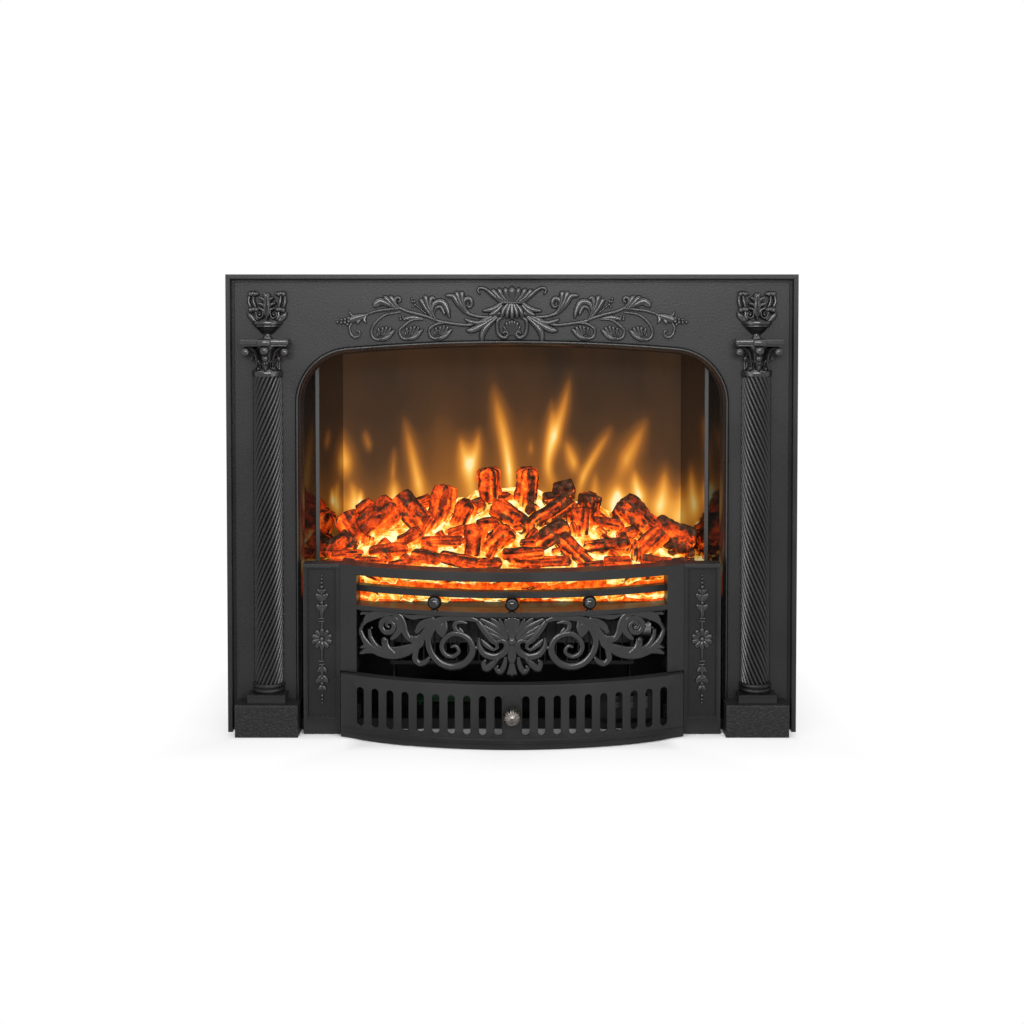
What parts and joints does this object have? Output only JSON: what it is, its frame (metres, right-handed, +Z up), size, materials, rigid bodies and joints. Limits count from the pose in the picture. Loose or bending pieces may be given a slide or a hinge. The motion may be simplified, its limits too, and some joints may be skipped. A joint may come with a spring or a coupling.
{
  "type": "electric fireplace insert",
  "caption": "Electric fireplace insert: black cast surround with rope columns, arched hearth, bowed grate with scroll fret, lit ember bed, flame screen and a pull-out ash cover.",
  "frame": {"origin": "on the floor at mid width, in the plane where the back of the rim seats on the wall", "axes": "+X to the viewer's right, +Y to the rear into the wall, +Z up"},
  "size_m": [0.75, 0.3045, 0.604],
  "materials": {
    "cast_black": "satin black cast finish",
    "black_sheet": "matt black paint",
    "gloss_liner": "gloss black paint",
    "gloss_black": "gloss black",
    "pewter": "antique pewter",
    "steel": "plain",
    "grey_strip": "satin",
    "screen": "smoked diffuser",
    "ember_resin": "translucent red-orange resin with charred tops",
    "bright_foil": "polished",
    "motor_steel": "plain",
    "bush_plastic": "moulded",
    "circuit_board": "lacquered",
    "element_alloy": "plain",
    "switch_plastic": "moulded"
  },
  "bodies": {
    "insert": {"surround_panel": "cast_black", "arch_trim": "cast_black", "plinth_right": "cast_black", "plinth_left": "cast_black", "column_base_right": "cast_black", "column_base_left": "cast_black", "column_shaft_right": "cast_black", "column_shaft_left": "cast_black", "capital_right": "cast_black", "capital_left": "cast_black", "urn_right": "cast_black", "urn_left": "cast_black", "top_garland": "cast_black", "pilaster_right": "cast_black", "pilaster_left": "cast_black", "drop_right": "cast_black", "drop_left": "cast_black", "stile_right": "cast_black", "stile_left": "cast_black", "top_bar": "cast_black", "middle_bar": "cast_black", "lower_bar": "cast_black", "fret_panel": "cast_black", "base_pan": "black_sheet", "case_side_right": "black_sheet", "case_side_left": "black_sheet", "case_top": "black_sheet", "case_back": "black_sheet", "top_baffle": "black_sheet", "ember_tray": "black_sheet", "heater_case": "black_sheet", "outlet_grille": "black_sheet", "slide_channel_right": "black_sheet", "slide_channel_left": "black_sheet", "control_panel": "black_sheet", "side_liner_right": "gloss_liner", "side_liner_left": "gloss_liner", "bar_finials": "gloss_black", "side_trim_right": "grey_strip", "side_trim_left": "grey_strip", "flame_screen": "screen", "ember_bed": "ember_resin", "flame_reflector": "bright_foil", "spindle_motor": "motor_steel", "spindle_bush": "bush_plastic", "flame_lamp_board": "circuit_board", "heating_element": "element_alloy", "blower_motor": "motor_steel", "control_board": "circuit_board", "cable_gland": "bush_plastic"},
    "cover": {"ash_cover": "cast_black", "cover_knob": "pewter", "cover_slide_right": "steel", "cover_slide_left": "steel"},
    "blower": {"blower_wheel": "element_alloy"},
    "spindle": {"flame_spindle": "bright_foil"},
    "power_switch": {"rocker_power": "switch_plastic"},
    "low_heat_switch": {"rocker_low_heat": "switch_plastic"},
    "high_heat_switch": {"rocker_high_heat": "switch_plastic"}
  },
  "joints": [
    {"name": "cover_pull", "type": "slide", "parent": "insert", "child": "cover", "axis": [0, -1, 0], "range_m": [0, 0.07]},
    {"name": "blower_spin", "type": "hinge", "parent": "insert", "child": "blower", "pos_m": [0, 0.044, 0.127], "axis": [1, 0, 0], "continuous": true},
    {"name": "spindle_spin", "type": "hinge", "parent": "insert", "child": "spindle", "pos_m": [0, 0.146, 0.206], "axis": [1, 0, 0], "continuous": true},
    {"name": "power_rock", "type": "hinge", "parent": "insert", "child": "power_switch", "pos_m": [0.134, -0.035, 0.0464], "axis": [-1, 0, 0], "range_deg": [0, 14]},
    {"name": "low_heat_rock", "type": "hinge", "parent": "insert", "child": "low_heat_switch", "pos_m": [0.1522, -0.035, 0.0464], "axis": [-1, 0, 0], "range_deg": [0, 14]},
    {"name": "high_heat_rock", "type": "hinge", "parent": "insert", "child": "high_heat_switch", "pos_m": [0.1704, -0.035, 0.0464], "axis": [-1, 0, 0], "range_deg": [0, 14]}
  ]
}
